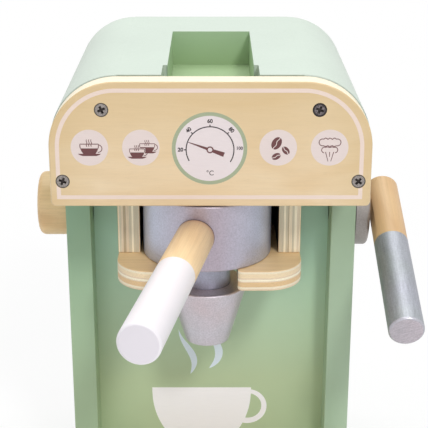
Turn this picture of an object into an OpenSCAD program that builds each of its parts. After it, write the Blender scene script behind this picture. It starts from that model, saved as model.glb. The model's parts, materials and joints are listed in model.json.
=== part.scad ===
// Wooden toy coffee maker.
// X runs to the right, Y to the rear, Z up. The origin is the centre of the
// underside of the base, which is also the centre between panel and rear face.

/* [Front panel] */
// Width of the front panel
panel_w = 163.5; // [150:0.5:180]
// Height of the front panel
panel_h = 65.5; // [58:0.5:76]
// How far the panel reaches below the head
panel_drop = 1; // [0:0.5:2]
// Thickness of the front panel
panel_t = 12; // [9:0.5:15]
// Radius of the two lower corners of the panel
panel_foot_r = 2.5; // [1:0.5:4]
// Distance of the upper screws from the middle of the panel
upper_screw_x = 54.5; // [52:0.5:60]
// Height of the upper screws above the lower edge of the panel
upper_screw_h = 51; // [46:0.5:53]
// Height of the lower screws above the lower edge of the panel
lower_screw_h = 13.5; // [8:0.5:18]

/* [Head] */
// Depth of the head behind the panel
shell_d = 155; // [145:1:175]
// How far the head stands out round the panel
shell_reveal = 0.5; // [0.5:0.5:2]
// Radius of the rounded shoulders
shoulder_r = 35; // [32:1:38]
// Thickness of the roof board
roof_t = 10; // [8:0.5:12]
// Thickness of the board that closes the head from below
head_floor_t = 9; // [6:0.5:12]

/* [Hopper] */
// Inner width of the hopper
hopper_w = 45; // [38:1:52]
// Inner length of the hopper, from the panel to its rear wall
hopper_l = 109; // [90:1:115]
// Depth of the hopper below the top of the roof
hopper_depth = 20; // [15:0.5:24]
// Wall of the hopper tray
tray_t = 3; // [2.5:0.5:4]
// Width of the slot beside each tray wall, next to the panel
notch_w = 2.4; // [1.8:0.2:2.8]
// Length of that slot
notch_l = 22; // [16:1:28]

/* [Column] */
// Clear height from the base to the head
column_h = 195; // [180:1:215]
// Thickness of the side boards
side_t = 14; // [13:0.5:16]
// Setback of the side boards' front edge from the face of the panel
column_setback = 60; // [56:1:64]
// Setback of the splash board behind the front edge of the side boards
splash_setback = 18; // [14:0.5:20]
// Thickness of the splash board
splash_t = 6; // [4:0.5:8]
// Thickness of the rear panel
rear_t = 9; // [6:0.5:12]
// How deep the rear panel lies between the side boards
rear_inset = 2; // [1:0.5:4]
// Side of the square cleats that carry the rear panel
cleat_s = 12; // [10:0.5:14]
// Length of those cleats
cleat_l = 170; // [140:1:175]
// Number of screws in each cleat
cleat_screws = 3; // [2:1:4]

/* [Base] */
// Thickness of the base board
base_t = 15; // [14:0.5:20]
// Radius of the front corners of the base
base_corner_r = 20; // [10:1:30]
// Width of the drip grate
grate_w = 92; // [70:1:100]
// Depth of the drip grate from front to rear
grate_d = 58; // [48:1:62]
// Thickness of the drip grate
grate_t = 4; // [3:0.5:5]
// Radius of the corners of the drip grate
grate_r = 6; // [3:0.5:8]
// Width of one slot in the grate
slot_w = 4.5; // [3:0.5:5]
// Wood left between two slots
slot_land = 5.5; // [4:0.5:7]
// Width of the rim that carries the grate
grate_rim = 6; // [4:0.5:8]
// Depth of the drip well under the grate
well_depth = 4; // [2:0.5:6]

/* [Group] */
// How far the group stands to the left of the middle
group_offset = 0.8; // [0:0.1:1.2]
// Thickness of the two cheeks
cheek_t = 12; // [9:0.5:14]
// Setback of the cheeks' front edge from the face of the panel
cheek_setback = 30; // [26:1:36]
// Height of the opening between the head and the ledge
group_h = 38.6; // [36:0.2:42]
// Thickness of the ledge that the bowl rests on
ledge_t = 11; // [8:0.5:12]
// Setback of the ledge's front edge from the face of the panel
ledge_setback = 3; // [0:0.5:4]
// Radius of the outer front corners of the ledge
ledge_r = 19; // [14:0.5:20]
// Radius of the inner front corners of the ledge
ledge_nose_r = 3; // [2:0.5:4]
// Thickness of the black board behind the bowl
group_back_t = 3; // [2:0.5:4]

/* [Portafilter] */
// Diameter of the bowl
bowl_d = 70; // [64:0.5:76]
// Setback of the bowl's front from the face of the panel
bowl_setback = 1.5; // [0:0.5:5]
// Radius of the bowl's edges
bowl_edge_r = 0.8; // [0.4:0.2:1.6]
// Diameter of the basket turned into the bowl
basket_d = 48; // [40:1:50]
// Depth of that basket
basket_depth = 22; // [14:0.5:26]
// Diameter of the neck
neck_d = 25.5; // [20:0.5:27]
// Length of the neck between bowl and spout
neck_h = 19.5; // [16:0.5:26]
// How deep the neck is glued into the bowl and into the spout
neck_seat = 8; // [5:0.5:10]
// Upper diameter of the spout
spout_top_d = 44.5; // [38:0.5:48]
// Lower diameter of the spout
spout_tip_d = 24.5; // [18:0.5:28]
// Height of the spout
spout_h = 34.5; // [28:0.5:42]
// Diameter of the handle
handle_d = 20; // [16:0.5:21]
// Length of the handle outside the bowl
handle_l = 127; // [110:1:150]
// How deep the handle is glued into the bowl
handle_seat = 8; // [6:0.5:9]
// Drop of the handle's axis below the head
handle_drop = 19; // [16:0.5:20]
// Angle by which the handle stands to the left of straight ahead
handle_angle = 10; // [0:1:16]
// Radius of the handle's end
rod_edge_r = 1.6; // [0.8:0.2:3]

/* [Knob and lever] */
// Setback of the axle of knob and lever from the face of the panel
axle_setback = 85; // [84:0.5:92]
// Drop of the axle below the head
axle_drop = 29; // [28:0.5:36]
// Diameter of the knob
knob_d = 37; // [30:0.5:42]
// Length of the knob
knob_l = 17; // [14:0.5:20]
// Radius of the knob's outer edge
knob_edge_r = 3.5; // [2:0.5:5]
// Diameter of the lever's hub
hub_d = 48.5; // [44:0.5:54]
// Thickness of the lever's hub
hub_t = 8; // [7:0.5:12]
// Radius of the hub's outer edge
hub_edge_r = 2; // [1:0.5:3]
// Diameter of the lever
lever_d = 19; // [16:0.5:22]
// Length of the lever
lever_l = 123; // [100:0.5:135]
// Distance of the axle from the rear end of the lever
lever_tail = 14.5; // [12:0.5:20]
// Slope of the lever below the horizontal
lever_angle = 18.5; // [0:0.5:40]
// Gap between the lever and the face of the hub, bridged by the axle
lever_gap = 1.2; // [0.4:0.1:2]
// How deep the axle is glued into the lever
lever_bore = 9; // [7:0.5:11]
// Diameter of the wooden axles
axle_d = 10; // [8:0.5:12]
// How deep the knob's axle is glued into the knob
axle_seat = 8; // [6:0.5:10]
// Diameter of the pocket in the side board for the washer
pocket_d = 21; // [20:0.5:24]
// Depth of that pocket
pocket_depth = 6; // [5.5:0.5:7]
// Diameter of the retaining washer
washer_d = 18; // [16:0.5:19]
// Thickness of the retaining washer
washer_t = 1.5; // [1:0.1:2]

/* [Fasteners] */
// Head diameter of the countersunk screws
screw_head_d = 7.2; // [6.4:0.2:8]
// Shank diameter of the screws
screw_d = 3; // [2.5:0.1:3.5]
// Length of the screws in the front panel
panel_screw_l = 28; // [22:1:32]
// Length of the screws in the base
base_screw_l = 32; // [26:1:40]
// Distance of those screws from the front and rear edges of the side boards
base_screw_inset = 28; // [20:1:36]
// Length of the screws in the rear panel
rear_screw_l = 18; // [14:0.5:20]
// Length of the screws in the ledge
ledge_screw_l = 24; // [18:1:30]
// Distance of those screws from the front and rear ends of the cheeks
ledge_screw_inset = 10; // [8:1:14]
// Length of the screws that hold the washers
axle_screw_l = 10; // [8:0.5:12]

/* [Clearances] */
// Radial play of an axle in its side board
running_gap = 0.08; // [0.04:0.01:0.1]
// Side play of knob and hub on their side boards
end_gap = 0.4; // [0.3:0.05:0.6]
// Gap of a glued or screwed round fit
glue_gap = 0.04; // [0.02:0.01:0.06]
// Gap round the loose grate
grate_gap = 0.3; // [0.2:0.05:0.5]
// Gap between the bowl and the ledge
seat_gap = 0.2; // [0.1:0.05:0.3]
// Gap between the bowl and the head
bowl_head_gap = 2; // [1:0.1:2.5]
// Gap between the bowl and each cheek when the bowl stands in the middle
bowl_side_gap = 2.6; // [1.5:0.1:3]
// Gap left at the left cheek, because the bowl stands a little to that side
bowl_rest_gap = 1.4; // [0.5:0.1:2]
// Gap between the neck and the ledge's slot
neck_gap = 2.3; // [2:0.1:3.5]

/* [Hidden] */
$fn = 64;

// Overshoot of a cutting solid past the face that it cuts
over = 1;

// Levels and planes of the case
case_w = panel_w + 2 * shell_reveal;
case_d = panel_t + shell_d;
face_y = -case_d / 2;
panel_rear_y = face_y + panel_t;
rear_y = case_d / 2;
head_z = base_t + column_h;
panel_z = head_z - panel_drop;
roof_z = panel_z + panel_h + shell_reveal;
spring_z = roof_z - shoulder_r;
inner_x = case_w / 2 - side_t;
shoulder_x = case_w / 2 - shoulder_r;
column_y = face_y + column_setback;
splash_y = column_y + splash_setback;
rear_face_y = rear_y - rear_inset;
rear_inner_y = rear_face_y - rear_t;
hopper_rear_y = panel_rear_y + hopper_l;
hopper_floor_z = roof_z - hopper_depth;

// Group and portafilter
bowl_r = bowl_d / 2;
group_x = -group_offset;
bowl_x = group_x + bowl_rest_gap - bowl_side_gap;
bowl_y = face_y + bowl_setback + bowl_r;
ledge_z = head_z - group_h;
bowl_z = ledge_z + seat_gap;
bowl_h = group_h - seat_gap - bowl_head_gap;
cheek_x = bowl_r + bowl_side_gap;
cheek_y = face_y + cheek_setback;
group_w = 2 * (cheek_x + cheek_t);
slot_r = neck_d / 2 + neck_gap;
handle_z = head_z - handle_drop;
handle_root = bowl_r - handle_seat;

// Axles
axle_y = face_y + axle_setback;
axle_z = head_z - axle_drop;
axle_end = side_t - pocket_depth + end_gap;
lever_reach = end_gap + hub_t + lever_gap + lever_bore;

// Fasteners, with the turn of each cross recess in the panel
upper_turn = 24;
lower_turn = 30;
lower_turn_step = 9;
recess_w = screw_head_d * 0.17;
recess_l = screw_head_d * 0.56;
recess_depth = screw_head_d * 0.22;
lower_screw_x = case_w / 2 - side_t / 2;
cleat_z = base_t + (column_h - cleat_l) / 2;

// ---- shared shapes -------------------------------------------------------

// Box that spans x, y and z, each given as [low, high]
module box(x, y, z) {
    translate([x[0], y[0], z[0]]) cube([x[1] - x[0], y[1] - y[0], z[1] - z[0]]);
}

// Rectangle centred on the origin with four round corners
module rounded_rect(w, h, r) {
    square([w - 2 * r, h], center = true);
    square([w, h - 2 * r], center = true);
    for (sx = [-1, 1], sy = [-1, 1])
        translate([sx * (w / 2 - r), sy * (h / 2 - r)]) circle(r);
}

// Arched outline standing on y = 0, with large upper and small lower corners
module arch_outline(w, h, r_top, r_foot) {
    translate([-w / 2, r_foot]) square([w, h - r_top - r_foot]);
    translate([-w / 2 + r_foot, 0]) square([w - 2 * r_foot, r_foot + over]);
    translate([-w / 2 + r_top, h - r_top - over]) square([w - 2 * r_top, r_top + over]);
    for (s = [-1, 1]) {
        translate([s * (w / 2 - r_top), h - r_top]) quarter_disc(s, r_top);
        translate([s * (w / 2 - r_foot), r_foot]) circle(r_foot);
    }
}

// Upper outer quarter of a disc, on the left (s = -1) or right (s = 1)
module quarter_disc(s, r) {
    intersection() {
        circle(r, $fn = 128);
        translate([s < 0 ? -r : 0, 0]) square(r);
    }
}

// Turned rod along +Z with a round edge at its upper end
module turned(d, l, edge) {
    rotate_extrude() {
        square([d / 2, l - edge]);
        square([d / 2 - edge, l]);
        translate([d / 2 - edge, l - edge]) circle(edge, $fn = 32);
    }
}

// Board that lies in the X-Z plane, from its front face to the rear
module upright(y, t) {
    translate([0, y + t, 0]) rotate([90, 0, 0]) linear_extrude(t) children();
}

// Countersunk wood screw: head up at z = 0, shank down; play widens it for its hole
module screw_body(l, play) {
    head_r = screw_head_d / 2 + play;
    shank_r = screw_d / 2 + play;
    cone_h = (screw_head_d - screw_d) / 2;
    tip_h = screw_d;
    tip_r = shank_r * 0.3;
    translate([0, 0, -cone_h]) cylinder(h = cone_h, r1 = shank_r, r2 = head_r);
    translate([0, 0, tip_h - l]) cylinder(h = l - tip_h - cone_h, r = shank_r);
    translate([0, 0, -l - play]) cylinder(h = tip_h + play, r1 = tip_r, r2 = shank_r);
}

// The same screw with its cross recess
module screw(l) {
    color("silver") difference() {
        screw_body(l, 0);
        for (a = [0, 90]) rotate([0, 0, a])
            translate([-recess_l / 2, -recess_w / 2, -recess_depth])
                cube([recess_l, recess_w, recess_depth + over]);
    }
}

// Places of the screws: the head is at the origin of each child and faces +Z
module at_panel_screws() {
    for (s = [-1, 1]) {
        translate([s * upper_screw_x, face_y, panel_z + upper_screw_h])
            rotate([90, s * upper_turn, 0]) children();
        translate([s * lower_screw_x, face_y, panel_z + lower_screw_h])
            rotate([90, lower_turn + s * lower_turn_step, 0]) children();
    }
}

module at_base_screws() {
    for (s = [-1, 1], y = [column_y + base_screw_inset, rear_y - base_screw_inset])
        translate([s * lower_screw_x, y, 0]) rotate([180, 0, 0]) children();
}

module at_rear_screws() {
    pitch = cleat_l / cleat_screws;
    for (s = [-1, 1], i = [0 : cleat_screws - 1])
        translate([s * (inner_x - cleat_s / 2), rear_face_y, cleat_z + pitch / 2 + i * pitch])
            rotate([-90, 0, 0]) children();
}

module at_ledge_screws() {
    for (s = [-1, 1], y = [cheek_y + ledge_screw_inset, splash_y - ledge_screw_inset])
        translate([group_x + s * (cheek_x + cheek_t / 2), y, ledge_z - ledge_t])
            rotate([180, 0, 0]) children();
}

// Child drawn along +Z, turned to run along the axle: s = -1 left, 1 right
module on_axle(s) {
    translate([s * (case_w / 2), axle_y, axle_z]) rotate([0, s * 90, 0]) children();
}

// Child drawn along +Z, turned to run along the handle from the bowl's centre
module on_handle() {
    translate([bowl_x, bowl_y, handle_z]) rotate([0, 0, -handle_angle]) rotate([90, 0, 0]) children();
}

// Child drawn along +Z, turned to run along the lever from its rear end
module on_lever() {
    translate([case_w / 2 + end_gap + hub_t + lever_gap + lever_d / 2, axle_y, axle_z])
        rotate([90 + lever_angle, 0, 0]) translate([0, 0, -lever_tail]) children();
}

// ---- base ----------------------------------------------------------------

module grate_place(z) {
    translate([0, bowl_y, z]) children();
}

module base_board() {
    color("#9cc0a4") difference() {
        linear_extrude(base_t) union() {
            translate([-case_w / 2, face_y + base_corner_r])
                square([case_w, case_d - base_corner_r]);
            translate([-case_w / 2 + base_corner_r, face_y])
                square([case_w - 2 * base_corner_r, base_corner_r + over]);
            for (s = [-1, 1])
                translate([s * (case_w / 2 - base_corner_r), face_y + base_corner_r])
                    circle(base_corner_r);
        }
        grate_place(base_t - grate_t) linear_extrude(grate_t + over)
            rounded_rect(grate_w + 2 * grate_gap, grate_d + 2 * grate_gap, grate_r + grate_gap);
        grate_place(base_t - grate_t - well_depth) linear_extrude(well_depth + over)
            rounded_rect(grate_w - 2 * grate_rim, grate_d - 2 * grate_rim, grate_r / 2);
        at_base_screws() screw_body(base_screw_l, glue_gap);
    }
}

// Slot with round ends, along Y and centred on the origin
module slot_outline(w, l) {
    square([w, l - w], center = true);
    for (s = [-1, 1]) translate([0, s * (l - w) / 2]) circle(w / 2, $fn = 32);
}

module drip_grate() {
    pitch = slot_w + slot_land;
    inside_w = grate_w - 2 * grate_rim - slot_land;
    count = floor(inside_w / pitch);
    slot_l = grate_d - 2 * grate_rim - slot_land;
    color("burlywood") difference() {
        grate_place(base_t - grate_t) linear_extrude(grate_t)
            rounded_rect(grate_w, grate_d, grate_r);
        for (i = [0 : count - 1])
            translate([(i - (count - 1) / 2) * pitch, bowl_y, base_t - grate_t - over])
                linear_extrude(grate_t + 2 * over) slot_outline(slot_w, slot_l);
    }
}

module base_screws() {
    at_base_screws() screw(base_screw_l);
}

// ---- column --------------------------------------------------------------

// Side board in the Y-Z plane: a post under a head that reaches to the panel
module side_board(s) {
    color("#9cc0a4") difference() {
        union() {
            x = [s < 0 ? -case_w / 2 : inner_x, s < 0 ? -inner_x : case_w / 2];
            box(x, [column_y, rear_y], [base_t, spring_z]);
            box(x, [panel_rear_y, rear_y], [head_z, spring_z]);
        }
        on_axle(s) {
            translate([0, 0, -side_t - over]) cylinder(h = side_t + 2 * over, d = axle_d + 2 * running_gap);
            translate([0, 0, -side_t - over]) cylinder(h = pocket_depth + over, d = pocket_d);
        }
        at_base_screws() screw_body(base_screw_l, glue_gap);
        at_panel_screws() screw_body(panel_screw_l, glue_gap);
    }
}

module left_side() { side_board(-1); }
module right_side() { side_board(1); }

module splash_board() {
    color("#a9caaf") box([-inner_x, inner_x], [splash_y, splash_y + splash_t],
                         [base_t, head_z + head_floor_t]);
}

module rear_panel() {
    color("#9cc0a4") difference() {
        union() {
            box([-inner_x, inner_x], [rear_inner_y, rear_face_y], [base_t, spring_z]);
            box([-shoulder_x, shoulder_x], [rear_inner_y, rear_face_y],
                [spring_z - over, roof_z - roof_t]);
        }
        at_rear_screws() screw_body(rear_screw_l, glue_gap);
    }
}

module rear_cleats() {
    color("burlywood") difference() {
        for (s = [-1, 1])
            box([s < 0 ? -inner_x : inner_x - cleat_s, s < 0 ? -inner_x + cleat_s : inner_x],
                [rear_inner_y - cleat_s, rear_inner_y], [cleat_z, cleat_z + cleat_l]);
        at_rear_screws() screw_body(rear_screw_l, glue_gap);
    }
}

module rear_screws() {
    at_rear_screws() screw(rear_screw_l);
}

// ---- head ----------------------------------------------------------------

// Solid quarter-round moulding that forms one rounded shoulder
module shoulder(s) {
    color("#c9e0cc") difference() {
        upright(panel_rear_y, shell_d) translate([s * shoulder_x, spring_z])
            quarter_disc(s, shoulder_r);
        at_panel_screws() screw_body(panel_screw_l, glue_gap);
    }
}

module left_shoulder() { shoulder(-1); }
module right_shoulder() { shoulder(1); }

module roof_board() {
    notch_r = notch_w / 2;
    color("#c9e0cc") difference() {
        box([-shoulder_x, shoulder_x], [panel_rear_y, rear_y], [roof_z - roof_t, roof_z]);
        box([-hopper_w / 2, hopper_w / 2], [panel_rear_y - over, hopper_rear_y],
            [roof_z - roof_t - over, roof_z + over]);
        for (s = [-1, 1]) translate([s * (hopper_w / 2 + notch_r), 0, roof_z - roof_t - over]) {
            translate([-notch_r, panel_rear_y - over, 0])
                cube([notch_w, notch_l + over - notch_r, roof_t + 2 * over]);
            translate([0, panel_rear_y + notch_l - notch_r, 0])
                cylinder(h = roof_t + 2 * over, r = notch_r, $fn = 24);
        }
    }
}

module hopper_tray() {
    color("#9cc0a4") difference() {
        box([-hopper_w / 2 - tray_t, hopper_w / 2 + tray_t],
            [panel_rear_y, hopper_rear_y + tray_t],
            [hopper_floor_z - tray_t, roof_z - roof_t]);
        box([-hopper_w / 2, hopper_w / 2], [panel_rear_y + tray_t, hopper_rear_y],
            [hopper_floor_z, roof_z - roof_t + over]);
    }
}

module head_floor() {
    color("#9cc0a4") box([-inner_x, inner_x], [panel_rear_y, splash_y],
                         [head_z, head_z + head_floor_t]);
}

module front_panel() {
    color("#ecd3a4") difference() {
        translate([0, 0, panel_z]) upright(face_y, panel_t)
            arch_outline(panel_w, panel_h, shoulder_r - shell_reveal, panel_foot_r);
        at_panel_screws() screw_body(panel_screw_l, glue_gap);
    }
}

module front_screws() {
    at_panel_screws() screw(panel_screw_l);
}

// ---- group ---------------------------------------------------------------

module group_back() {
    color("#101010") box([group_x - cheek_x, group_x + cheek_x],
                         [splash_y - group_back_t, splash_y], [ledge_z, head_z]);
}

module cheek(s) {
    color("burlywood") difference() {
        translate([group_x + s * (cheek_x + cheek_t / 2), 0])
            box([-cheek_t / 2, cheek_t / 2], [cheek_y, splash_y], [ledge_z, head_z]);
        at_ledge_screws() screw_body(ledge_screw_l, glue_gap);
    }
}

module left_cheek() { cheek(-1); }
module right_cheek() { cheek(1); }

// One prong of the ledge, to the right of the slot
module ledge_prong(front_y) {
    w = group_w / 2 - slot_r;
    translate([slot_r, front_y + ledge_r]) square([w, splash_y - front_y - ledge_r]);
    translate([slot_r + ledge_nose_r, front_y])
        square([w - ledge_nose_r - ledge_r, ledge_r + over]);
    translate([slot_r, front_y + ledge_nose_r]) square([ledge_nose_r + over, ledge_r]);
    translate([slot_r + ledge_nose_r, front_y + ledge_nose_r]) circle(ledge_nose_r, $fn = 32);
    translate([group_w / 2 - ledge_r, front_y + ledge_r]) mirror([0, 1]) quarter_disc(1, ledge_r);
}

module group_ledge() {
    front_y = face_y + ledge_setback;
    color("burlywood") difference() {
        translate([group_x, 0, ledge_z - ledge_t]) linear_extrude(ledge_t) difference() {
            union() {
                ledge_prong(front_y);
                mirror([1, 0]) ledge_prong(front_y);
                translate([-slot_r - over, bowl_y])
                    square([2 * (slot_r + over), splash_y - bowl_y]);
            }
            translate([0, bowl_y]) circle(slot_r);
        }
        at_ledge_screws() screw_body(ledge_screw_l, glue_gap);
    }
}

module ledge_screws() {
    at_ledge_screws() screw(ledge_screw_l);
}

// ---- portafilter ---------------------------------------------------------

module portafilter_bowl() {
    e = bowl_edge_r;
    color("silver") difference() {
        translate([bowl_x, bowl_y, bowl_z]) rotate_extrude() {
            translate([0, e]) square([bowl_r, bowl_h - 2 * e]);
            square([bowl_r - e, bowl_h]);
            for (z = [e, bowl_h - e]) translate([bowl_r - e, z]) circle(e, $fn = 32);
        }
        translate([bowl_x, bowl_y, bowl_z + bowl_h - basket_depth])
            cylinder(h = basket_depth + over, d = basket_d);
        translate([bowl_x, bowl_y, bowl_z - over])
            cylinder(h = neck_seat + over, d = neck_d + 2 * glue_gap);
        on_handle() translate([0, 0, handle_root - glue_gap])
            cylinder(h = bowl_r, d = handle_d + 2 * glue_gap);
    }
}

module portafilter_neck() {
    color("silver") translate([bowl_x, bowl_y, bowl_z - neck_h - neck_seat])
        cylinder(h = neck_h + 2 * neck_seat, d = neck_d);
}

module portafilter_spout() {
    top_z = bowl_z - neck_h;
    lip = bowl_edge_r;
    color("silver") difference() {
        translate([bowl_x, bowl_y, top_z - spout_h]) union() {
            cylinder(h = spout_h - lip, d1 = spout_tip_d, d2 = spout_top_d);
            translate([0, 0, spout_h - lip])
                cylinder(h = lip, d1 = spout_top_d, d2 = spout_top_d - 2 * lip);
        }
        translate([bowl_x, bowl_y, top_z - neck_seat])
            cylinder(h = neck_seat + over, d = neck_d + 2 * glue_gap);
    }
}

module portafilter_handle() {
    color("white") on_handle() translate([0, 0, handle_root])
        turned(handle_d, handle_seat + handle_l, rod_edge_r);
}

// ---- knob and lever ------------------------------------------------------

// Wooden axle that stands out of the side board by reach
module axle(s, reach) {
    color("burlywood") on_axle(s) translate([0, 0, -axle_end]) difference() {
        cylinder(h = axle_end + reach, d = axle_d);
        translate([0, 0, -over]) cylinder(h = axle_screw_l - washer_t + over,
                                          d = screw_d + 2 * glue_gap);
    }
}

// Washer on the inner end of an axle, with the hole for its screw
module washer(s) {
    color("silver") on_axle(s) translate([0, 0, -axle_end - washer_t]) difference() {
        cylinder(h = washer_t, d = washer_d);
        translate([0, 0, -over]) cylinder(h = washer_t + 2 * over, d = screw_d + 2 * glue_gap);
    }
}

// Pan-head screw that holds the washer on the axle
module axle_screw(s) {
    head_h = screw_d * 0.6;
    crown_d = screw_head_d * 0.7;
    color("silver") on_axle(s) translate([0, 0, -axle_end - washer_t]) difference() {
        union() {
            translate([0, 0, -head_h]) cylinder(h = head_h, d1 = crown_d, d2 = screw_head_d);
            cylinder(h = axle_screw_l, d = screw_d);
        }
        for (a = [0, 90]) rotate([0, 0, a])
            translate([-recess_l / 2, -recess_w / 2, -head_h - over])
                cube([recess_l, recess_w, over + head_h / 2]);
    }
}

module steam_knob() {
    color("burlywood") on_axle(-1) translate([0, 0, end_gap]) difference() {
        turned(knob_d, knob_l, knob_edge_r);
        translate([0, 0, -over]) cylinder(h = axle_seat + glue_gap + over, d = axle_d + 2 * glue_gap);
    }
}

module knob_axle() { axle(-1, end_gap + axle_seat); }
module knob_washer() { washer(-1); }
module knob_screw() { axle_screw(-1); }

module lever_hub() {
    color("silver") on_axle(1) translate([0, 0, end_gap]) difference() {
        turned(hub_d, hub_t, hub_edge_r);
        translate([0, 0, -over]) cylinder(h = hub_t + 2 * over, d = axle_d + 2 * glue_gap);
    }
}

module lever_handle() {
    color("silver") difference() {
        on_lever() intersection() {
            turned(lever_d, lever_l, rod_edge_r);
            translate([0, 0, lever_l]) mirror([0, 0, 1]) turned(lever_d, lever_l, rod_edge_r);
        }
        on_axle(1) cylinder(h = lever_reach + glue_gap, d = axle_d + 2 * glue_gap);
    }
}

module lever_axle() { axle(1, lever_reach); }
module lever_washer() { washer(1); }
module lever_screw() { axle_screw(1); }

base_board();
drip_grate();
base_screws();
left_side();
right_side();
splash_board();
rear_panel();
rear_cleats();
rear_screws();
left_shoulder();
right_shoulder();
roof_board();
hopper_tray();
head_floor();
front_panel();
front_screws();
group_back();
left_cheek();
right_cheek();
group_ledge();
ledge_screws();
portafilter_bowl();
portafilter_neck();
portafilter_spout();
portafilter_handle();
steam_knob();
knob_axle();
knob_washer();
knob_screw();
lever_hub();
lever_handle();
lever_axle();
lever_washer();
lever_screw();
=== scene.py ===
"""Looks of a wooden toy coffee maker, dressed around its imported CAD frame.

All is in metres in the frame of the CAD model: X to the right, Y to the rear, Z up,
with the origin under the middle of the base. MM turns millimetres into metres.
"""
import json
import math

import bmesh
import bpy
from mathutils import Matrix, Vector


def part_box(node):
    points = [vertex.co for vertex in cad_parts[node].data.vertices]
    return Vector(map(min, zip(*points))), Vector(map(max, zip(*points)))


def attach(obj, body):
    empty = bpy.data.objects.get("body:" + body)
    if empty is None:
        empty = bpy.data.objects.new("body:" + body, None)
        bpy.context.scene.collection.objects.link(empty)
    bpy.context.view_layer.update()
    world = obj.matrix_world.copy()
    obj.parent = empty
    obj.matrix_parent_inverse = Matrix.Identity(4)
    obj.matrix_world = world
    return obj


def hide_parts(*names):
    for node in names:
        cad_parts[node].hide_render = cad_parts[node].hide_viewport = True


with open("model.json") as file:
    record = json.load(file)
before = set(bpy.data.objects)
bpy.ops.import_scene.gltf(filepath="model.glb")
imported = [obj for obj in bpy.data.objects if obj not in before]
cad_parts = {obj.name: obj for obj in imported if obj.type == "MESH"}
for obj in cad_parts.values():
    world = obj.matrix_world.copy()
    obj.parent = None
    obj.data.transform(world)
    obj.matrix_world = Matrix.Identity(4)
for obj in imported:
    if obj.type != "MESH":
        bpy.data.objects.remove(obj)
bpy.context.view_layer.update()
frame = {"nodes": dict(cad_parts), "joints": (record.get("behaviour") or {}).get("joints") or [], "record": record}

MM = 0.001

# ---- camera ----------------------------------------------------------------

CAMERA_PLACE = (1.75 * MM, -665.9 * MM, 417.3 * MM)
CAMERA_TILT = math.radians(20.04)
CAMERA_LENS = 101.5


def make_camera():
    data = bpy.data.cameras.new("camera")
    data.lens = CAMERA_LENS
    camera = bpy.data.objects.new("camera", data)
    camera.location = CAMERA_PLACE
    camera.rotation_euler = (math.pi / 2 - CAMERA_TILT, 0, 0)
    bpy.context.scene.collection.objects.link(camera)
    bpy.context.scene.camera = camera


# ---- shader nodes ----------------------------------------------------------

def srgb(red, green, blue):
    """Linear colour of an sRGB colour given from 0 to 255."""
    def linear(c):
        c /= 255
        return c / 12.92 if c <= 0.04045 else ((c + 0.055) / 1.055) ** 2.4
    return linear(red), linear(green), linear(blue), 1.0


def grey(level):
    return level, level, level, 1.0


def axis_scale(axis, across, along):
    """Scale of a pattern that runs along one axis, in cycles per millimetre."""
    return [along if name == axis else across for name in "XYZ"]


# Most values of a noise lie between these.
MIDDLE = (0.3, 0.7)


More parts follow.
